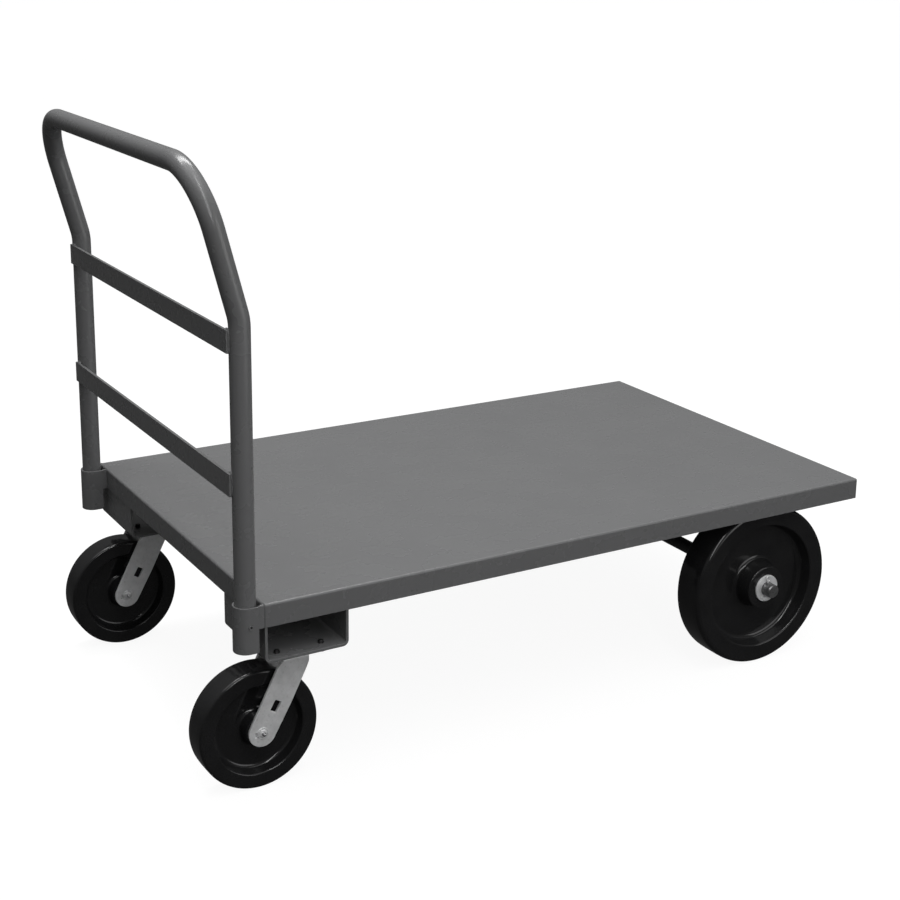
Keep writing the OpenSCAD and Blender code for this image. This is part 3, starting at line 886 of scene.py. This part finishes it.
def fork_holes(fold):
    foot, along, across = fork_lines()
    middle = fold.length / 2
    slot_at = foot + along * SLOT_AT
    spread = ((-9.5, -5.75), (9.5, -5.75), (9.5, 5.75), (-9.5, 5.75))
    corners = [slot_at + along * u + across * v for u, v in spread]
    slot = rounded([(p.x, p.y, 1.2) for p in corners], 3)
    pin = circle(foot, PIN_R + 0.05, 32)
    notch = rectangle(8, 3.6, 0.6, (foot.x - 1.5, foot.y - 11.8))
    one_leg = [slot, pin, notch]
    other_leg = [[(2 * middle - x, y) for x, y in hole] for hole in one_leg]
    return one_leg + other_leg + [circle((middle, 0), 8.1, 32)]


def leg_bosses(side):
    """The low upset rims round the pin, on the outside of both fork legs."""
    outline = rounded([(8.0, -0.4, 0), (8.0, 1.6, 0.3), (9.2, 1.6, 0.4), (9.8, -0.4, 0)], 4)
    bosses = []
    for way in (1, -1):
        boss = turned(outline, 64)
        lay = Matrix.Rotation(-way * math.pi / 2, 4, "X")
        at = Vector((caster_at.x, side * swivel_at.y + way * (fork_hi.y - fork_lo.y) / 2, caster_at.z))
        bosses.append(placed(boss, Matrix.Translation(at) @ lay))
    return bosses


def forks():
    fold = fork_fold()
    outline = fork_outline(fold)
    holes = fork_holes(fold)
    for name, side in SIDES:
        flat = plate(outline, holes, FORK_T, 0.8)
        part = folded(flat, fold)
        lay = Matrix(((0, 1, 0, swivel_at.x), (1, 0, 0, side * swivel_at.y), (0, 0, 1, 0), (0, 0, 0, 1)))
        placed(part, lay)
        bmesh.ops.recalc_face_normals(part, faces=part.faces)
        add_piece(f"fork_{name}_pressing", [part, *leg_bosses(side)], "zinc_plate", f"caster_{name}",
                  [f"fork_{name}"])


def caster_pins():
    """The pin that carries the caster's wheel: riveted end and grease nipple on the near side."""
    half = (fork_hi.y - fork_lo.y) / 2
    for name, side in SIDES:
        at = Vector((caster_at.x, side * swivel_at.y, caster_at.z))
        outline = rounded([
            (0, -half - 3, 0), (4.5, -half - 3, 0.3), (PIN_R, -half - 2.4, 0.6), (PIN_R, -half - 2.03, 0),
            (6.8, -half - 2.03, 0.6), (7.8, -half - 0.03, 0.2), (PIN_R, -half - 0.03, 0),
            (PIN_R, half + 0.1, 0), (9.2, half + 0.1, 0.3), (10, half + 1, 0.5), (10, half + 4.4, 1.5),
            (7.5, half + 6, 1.5), (0, half + 6, 0)], 4)
        pin = along_y(turned(outline, 64), at)
        add_piece(f"axle_pin_{name}_turned", [pin], "zinc_plate", f"caster_{name}",
                  [f"axle_pin_{name}"])
        low, high = box_mm(f"grease_nipple_{name}")
        length = high.y - low.y
        nipple = rounded([
            (0, 0, 0), (3.2, 0, 0.2), (3.2, 1.6, 0.3), (1.9, 1.7, 0.2), (1.5, 3.2, 0.4),
            (2.3, 4.2, 0.7), (2.2, 5.6, 0.8), (0.7, length, 0.4), (0, length, 0)], 4)
        small = placed(turned(nipple, 32), Matrix.Rotation(math.pi / 2, 4, "X"))
        placed(small, Matrix.Translation((at.x, high.y, at.z)))
        add_piece(f"grease_nipple_{name}_turned", [small], "bright_steel", f"caster_{name}",
                  [f"grease_nipple_{name}"])


def thread(radius, start, end, pitch=1.4, depth=0.45):
    """Outline of a threaded length, from one height to another."""
    count = max(1, int(abs(end - start) / pitch))
    step = (end - start) / count
    out = []
    for i in range(count):
        out += [(radius, start + i * step), (radius - depth, start + (i + 0.5) * step)]
    return out + [(radius - depth, end)]


def hex_nut(across, height, bore):
    """A hexagon nut on z 0, its corners turned off to a cone at both ends."""
    bm = plate(hexagon(across), [circle((0, 0), bore, 24)], height, 0.25, 1)
    placed(bm, Matrix.Translation((0, 0, height / 2)))
    slope = math.tan(math.radians(30))
    for v in bm.verts:
        r = math.hypot(v.co.x, v.co.y)
        over = max(0.0, r - across / 2 * 0.97)
        v.co.z += over * slope * (-1 if v.co.z > height / 2 else 1)
    return bm


def button_head(radius, height, socket):
    """A low coned head that hangs below z 0, with a hexagonal socket in it."""
    bm = plate(circle((0, 0), radius, 48), [hexagon(socket)], height, 0.3, 1)
    placed(bm, Matrix.Translation((0, 0, -height / 2)))
    for v in bm.verts:
        if v.co.z < -height / 2:
            v.co.z += 0.7 * height * (math.hypot(v.co.x, v.co.y) / radius) ** 3
    return bm


def caster_hardware():
    """Top plates, and the low-headed screws that hold them to the channels' floors."""
    head_low, tip = (corner.z for corner in box_mm("caster_screws"))
    size = plate_hi - plate_lo
    screws = []
    dice = random.Random(3)
    for name, side in SIDES:
        centre = Vector((swivel_at.x, side * swivel_at.y, 0))
        holes = [circle(spot, 5.2, 32) for spot in bolt_spots()] + [circle((0, 0), 8.05, 48)]
        slab = plate(rectangle(size.x, size.y, 10), holes, PLATE_T, 0.8)
        placed(slab, Matrix.Translation(centre + Vector((0, 0, plate_hi.z - PLATE_T / 2))))
        add_piece(f"plate_{name}_pressing", [slab], "zinc_plate", "frame", [f"plate_{name}"])
        for dx, dy in bolt_spots():
            spot = centre + Vector((dx, dy, 0))
            turn = Matrix.Rotation(dice.uniform(0, math.pi / 3), 4, "Z")
            under = Matrix.Translation(spot + Vector((0, 0, plate_lo.z)))
            screws.append(placed(button_head(8.5, plate_lo.z - head_low, 5.6), under @ turn))
            shank = [(0, plate_lo.z - 1.8), (BOLT_R - 0.3, plate_lo.z - 1.8), (BOLT_R - 0.3, plate_hi.z),
                     *thread(BOLT_R, plate_hi.z, tip - 1), (BOLT_R - 1.4, tip), (0, tip)]
            screws.append(placed(turned(shank, 32), Matrix.Translation(spot)))
    add_piece("caster_screw_set", screws, "black_oxide", "frame", ["caster_screws"])


def swivel_parts():
    """Kingpin, its nut and the lower race, all fixed to the top plate."""
    low, high = box_mm("kingpin_left")
    nut_low, nut_high = (corner.z for corner in box_mm("kingpin_nuts"))
    race_low, race_high = box_mm("lower_race_left")
    king_r = (high.x - low.x) / 2
    race_r = (race_high.x - race_low.x) / 2
    nuts = []
    for name, side in SIDES:
        at = Matrix.Translation((swivel_at.x, side * swivel_at.y, 0))
        outline = [(0, low.z), (king_r - 1.5, low.z), *thread(king_r, low.z + 1, nut_high),
                   (king_r, nut_high + 1), (king_r, high.z - 0.4), (king_r - 0.4, high.z), (0, high.z)]
        add_piece(f"kingpin_{name}_turned", [placed(turned(outline, 48), at)], "zinc_plate", "frame",
                  [f"kingpin_{name}"])
        nut = hex_nut(24, nut_high - nut_low, king_r + 0.02)
        nuts.append(placed(nut, at @ Matrix.Translation((0, 0, nut_low)) @ Matrix.Rotation(0.3, 4, "Z")))
        mid = (race_low.z + race_high.z) / 2
        half = (race_high.z - race_low.z) / 2
        groove = arc((16.0, half + 1.5), 2.5, 217, 323, 8)
        outline = [(king_r + 0.02, -half), (race_r - 0.6, -half), (race_r, -half + 0.6),
                   (race_r, half - 0.6), (race_r - 0.6, half), *reversed(groove), (king_r + 0.02, half)]
        race = placed(turned(outline, 72), at @ Matrix.Translation((0, 0, mid)))
        add_piece(f"lower_race_{name}_turned", [race], "zinc_plate", "frame", [f"lower_race_{name}"])
    add_piece("kingpin_nut_set", nuts, "zinc_plate", "frame", ["kingpin_nuts"])


# ---------------------------------------------------------------- rear axle


def brackets():
    size = bracket_hi - bracket_lo
    radius = 14.0
    middle_r = radius - BRACKET_T / 2
    bend = middle_r * math.pi / 2
    wall = bracket_hi.z - wheel_at.z - radius
    floor = size.y - 2 * radius
    turn = -math.pi / 2
    foot = size.x / 2
    for name, side in SIDES:
        start = (-size.y / 2 + BRACKET_T / 2, wheel_at.z - foot)
        fold = Fold(start, math.pi / 2,
                    [(wall + foot, 0), (bend, turn), (floor, 0), (bend, turn), (wall + foot, 0)])
        ends = (foot, fold.length - foot)
        outline = arc((ends[0], 0), foot, 90, 270, 24) + arc((ends[1], 0), foot, -90, 90, 24)
        holes = [circle((u, 0), AXLE_R + 0.1, 48) for u in ends]
        part = folded(plate(outline, holes, BRACKET_T, 1.0), fold)
        y = side * (bracket_lo.y + bracket_hi.y) / 2
        lay = Matrix(((0, 1, 0, wheel_at.x), (1, 0, 0, y), (0, 0, 1, 0), (0, 0, 0, 1)))
        placed(part, lay)
        bmesh.ops.recalc_face_normals(part, faces=part.faces)
        add_piece(f"bracket_{name}_pressing", [part], "grey_paint", "frame", [f"bracket_{name}"])


def long_beads(name, node, segments, radius, seed):
    """Fillet beads under the deck."""
    parts = [weld_bead(a, b, radius, seed + i, 3.0, 12) for i, (a, b) in enumerate(segments)]
    add_piece(name, parts, "grey_paint", "frame", [node], crease=60)


def underside_beads():
    low, high = box_mm("channel_welds")
    z = deck_under - 1.2
    pairs = [((low.x + 1.2, s * (high.y - 160 + 22), z), (low.x + 1.2, s * (high.y - 1), z))
             for _, s in SIDES]
    long_beads("channel_weld_beads", "channel_welds", pairs, 2.6, 80)
    low, high = box_mm("bracket_welds")
    pairs = []
    for _, s in SIDES:
        for x in (bracket_lo.x - 1, bracket_hi.x + 1):
            pairs.append(((x, s * (bracket_lo.y + 16), z), (x, s * (bracket_hi.y - 16), z)))
    long_beads("bracket_weld_beads", "bracket_welds", pairs, 3.2, 90)


def rear_axle():
    half = axle_hi.y
    chamfer = 1.5
    outline = [(0, -half), (AXLE_R - chamfer, -half), (AXLE_R, -half + chamfer),
               (AXLE_R, half - chamfer), (AXLE_R - chamfer, half), (0, half)]
    at = Vector((wheel_at.x, 0, wheel_at.z))
    add_piece("rear_axle_bar", [along_y(turned(outline, 96), at)], "mill_steel", "frame", ["rear_axle"])


def axle_rings():
    """Outer washers, spacer tubes with their thrust washers, and set collars, on the bar."""
    thick = AXLE_WASHER_T
    width = COLLAR_W
    washer_low, washer_high = box_mm("axle_washers")
    washer_r = (washer_high.x - washer_low.x) / 2
    washer_out = washer_high.y
    washer_in = box_mm("axle_spacers")[1].y
    collar_out = box_mm("axle_collars")[1].y
    tube_in = bracket_hi.y + 0.1
    tube_out = washer_in - thick
    washers, tubes, collars = [], [], []

    def threaded_on(outline, steps, y):
        return along_y(turned(outline, steps), Vector((wheel_at.x, y, wheel_at.z)))

    for _, side in SIDES:
        outer_washer = ring(washer_r, AXLE_R + 0.4, thick, 0.5)
        washers.append(threaded_on(outer_washer, 96, side * (washer_out - thick / 2)))
        tube = ring(SPACER_R, AXLE_R + 0.1, tube_out - tube_in, 0.6)
        tubes.append(threaded_on(tube, 72, side * (tube_in + tube_out) / 2))
        inner_washer = ring(THRUST_WASHER_R, AXLE_R + 0.1, thick, 0.5)
        tubes.append(threaded_on(inner_washer, 96, side * (washer_in - thick / 2)))
        middle = side * (collar_out - width / 2)
        collars.append(threaded_on(ring(COLLAR_R, AXLE_R + 0.05, width, 1.0), 72, middle))
        screw = turned([(0, 0), (3, 0), (3, 8.5), (2.6, 9), (1.5, 9), (1.5, 6.5), (0, 6.5)], 24)
        lay = Matrix.Translation((wheel_at.x + 12, middle, wheel_at.z))
        collars.append(placed(screw, lay @ Matrix.Rotation(math.pi / 2, 4, "Y")))
    add_piece("axle_washer_set", washers, "zinc_plate", "frame", ["axle_washers"])
    add_piece("axle_spacer_set", tubes, "zinc_plate", "frame", ["axle_spacers"])
    add_piece("axle_collar_set", collars, "zinc_plate", "frame", ["axle_collars"])


def cotter_pins():
    """Split pins of half-round wire: an eye above, two legs through the axle, bent apart below."""
    wire = 1.15
    eye = 4.4
    y = box_mm("axle_washers")[1].y + 2.6
    crown = wheel_at.z + AXLE_R + 3 + eye
    below = wheel_at.z - AXLE_R
    parts = []
    for _, side in SIDES:
        for leg in (1, -1):
            line = []
            for i in range(9):
                a = math.pi * i / 8
                line.append((leg * (0.2 + eye * math.sin(a)), crown + eye * math.cos(a)))
            line += [(leg * wire, crown - eye - 1.6), (leg * wire, wheel_at.z), (leg * wire, below - 0.8),
                     (leg * (wire + 1.5), below - 3.0), (leg * (wire + 9), below - 6.5)]
            parts.append(swept([(Vector((wheel_at.x + x, side * y, z)), wire) for x, z in line], 14))
    add_piece("cotter_pin_set", parts, "zinc_plate", "frame", ["cotter_pins"], crease=60)


# ---------------------------------------------------------------- build

deck_pan()
ribs()
channels()
handle()
strap("upper_strap")
strap("lower_strap")
strap_beads()
sockets()
socket_beads()
socket_small_parts()
moulded_wheels()
forks()
caster_pins()
caster_hardware()
swivel_parts()
brackets()
underside_beads()
rear_axle()
axle_rings()
cotter_pins()

for row in frame["record"]["subparts"]:
    node = frame["nodes"][row["node"]]
    node.data.materials.clear()
    node.data.materials.append(MATERIALS[row["material_slot"]])

# ---------------------------------------------------------------- floor, light and camera


def pale(name, glow):
    """Matt white that is also lit from within, so that the shadows on it stay light."""
    m = Nodes(f"pale_{name}")
    tone = m.mixed(m.ranged(m.noise(2, 3), 0, 1), (0.10, 0.10, 0.10), (0.11, 0.11, 0.11))
    return m.set(Base_Color=tone, Roughness=0.95, Specular_IOR_Level=0.1, Emission_Color=(1.0, 1.0, 1.0),
                 Emission_Strength=glow)


def stage_sheet(name, corners, faces, glow):
    """A pale sheet of the studio, which throws no light on the truck and is not mirrored in it."""
    mesh = bpy.data.meshes.new(name)
    mesh.from_pydata(corners, [], faces)
    mesh.materials.append(pale(name, glow))
    sheet = bpy.data.objects.new(name, mesh)
    bpy.context.scene.collection.objects.link(sheet)
    sheet.visible_diffuse = False
    sheet.visible_glossy = False
    return sheet


def studio():
    """The floor, and a far round wall that hides the dark horizon from low viewpoints."""
    reach = 60.0
    corners = [(-reach, -reach, 0), (reach, -reach, 0), (reach, reach, 0), (-reach, reach, 0)]
    stage_sheet("floor", corners, [(0, 1, 2, 3)], 0.93)
    sides = 64
    foot = circle((0, 0), 50.0, sides)
    corners = [(x, y, z) for z in (-1.0, 60.0) for x, y in foot]
    faces = [(i, (i + 1) % sides, (i + 1) % sides + sides, i + sides) for i in range(sides)]
    wall = stage_sheet("wall", corners, faces, 1.0)
    wall.visible_shadow = False


def light(name, kind, energy, towards, **settings):
    """A light that shines from the direction given, towards the middle of the truck."""
    data = bpy.data.lights.new(name, kind)
    data.energy = energy
    for key, value in settings.items():
        if key != "distance":
            setattr(data, key, value)
    lamp = bpy.data.objects.new(name, data)
    bpy.context.scene.collection.objects.link(lamp)
    direction = Vector(towards).normalized()
    lamp.rotation_euler = (-direction).to_track_quat("-Z", "Y").to_euler()
    lamp.location = direction * settings.get("distance", 4.0) + Vector((0, 0, 0.4))
    return lamp


def world():
    """Soft even light from above, and little from below, as over a dark studio floor."""
    sky = bpy.data.worlds.new("studio")
    sky.use_nodes = True
    tree = sky.node_tree
    back = tree.nodes["Background"]
    coordinates = tree.nodes.new("ShaderNodeTexCoord")
    axes = tree.nodes.new("ShaderNodeSeparateXYZ")
    ramp = tree.nodes.new("ShaderNodeValToRGB")
    tree.links.new(coordinates.outputs["Generated"], axes.inputs["Vector"])
    spread = tree.nodes.new("ShaderNodeMapRange")
    spread.inputs["From Min"].default_value = -1
    tree.links.new(axes.outputs["Z"], spread.inputs["Value"])
    tree.links.new(spread.outputs["Result"], ramp.inputs["Fac"])
    levels = ((0.0, 0.06), (0.45, 0.06), (0.60, 0.12), (1.0, 0.36))
    while len(ramp.color_ramp.elements) < len(levels):
        ramp.color_ramp.elements.new(0.5)
    for element, (place, level) in zip(ramp.color_ramp.elements, levels):
        element.position = place
        element.color = (level, level, level, 1)
    tree.links.new(ramp.outputs["Color"], back.inputs["Color"])
    bpy.context.scene.world = sky


def camera():
    """The photograph's viewpoint: its place, its heading, its small downward pitch and slight roll."""
    place = Vector((-1.51197, -2.5477, 1.36540))
    yaw, pitch, roll = 0.5321, 0.2539, -0.012
    forward = Vector((math.sin(yaw) * math.cos(pitch), math.cos(yaw) * math.cos(pitch), -math.sin(pitch)))
    level = Vector((math.cos(yaw), -math.sin(yaw), 0))
    down = forward.cross(level)
    right = level * math.cos(roll) + down * math.sin(roll)
    lower = down * math.cos(roll) - level * math.sin(roll)
    data = bpy.data.cameras.new("camera")
    data.sensor_width = 36
    data.lens = 66.508
    data.shift_y = -0.1227
    data.clip_start = 0.05
    eye = bpy.data.objects.new("camera", data)
    bpy.context.scene.collection.objects.link(eye)
    turn = Matrix((right, -lower, -forward)).transposed()
    eye.matrix_world = Matrix.Translation(place) @ turn.to_4x4()
    bpy.context.scene.camera = eye


studio()
world()
light("overhead", "SUN", 1.30, (0.0, -0.05, 1.0), angle=math.radians(75))
light("overhead_box", "AREA", 58, (-0.05, 0.30, 0.93), shape="RECTANGLE", size=2.6, size_y=0.5, distance=3.0)
light("tall_strip", "AREA", 34, (-0.19, -0.72, 0.68), shape="RECTANGLE", size=0.28, size_y=3.9, distance=3.0)
light("front_fill", "AREA", 18, (0.45, -0.85, 0.10), size=1.8, distance=3.6)
camera()
bpy.context.scene.view_settings.view_transform = "Standard"
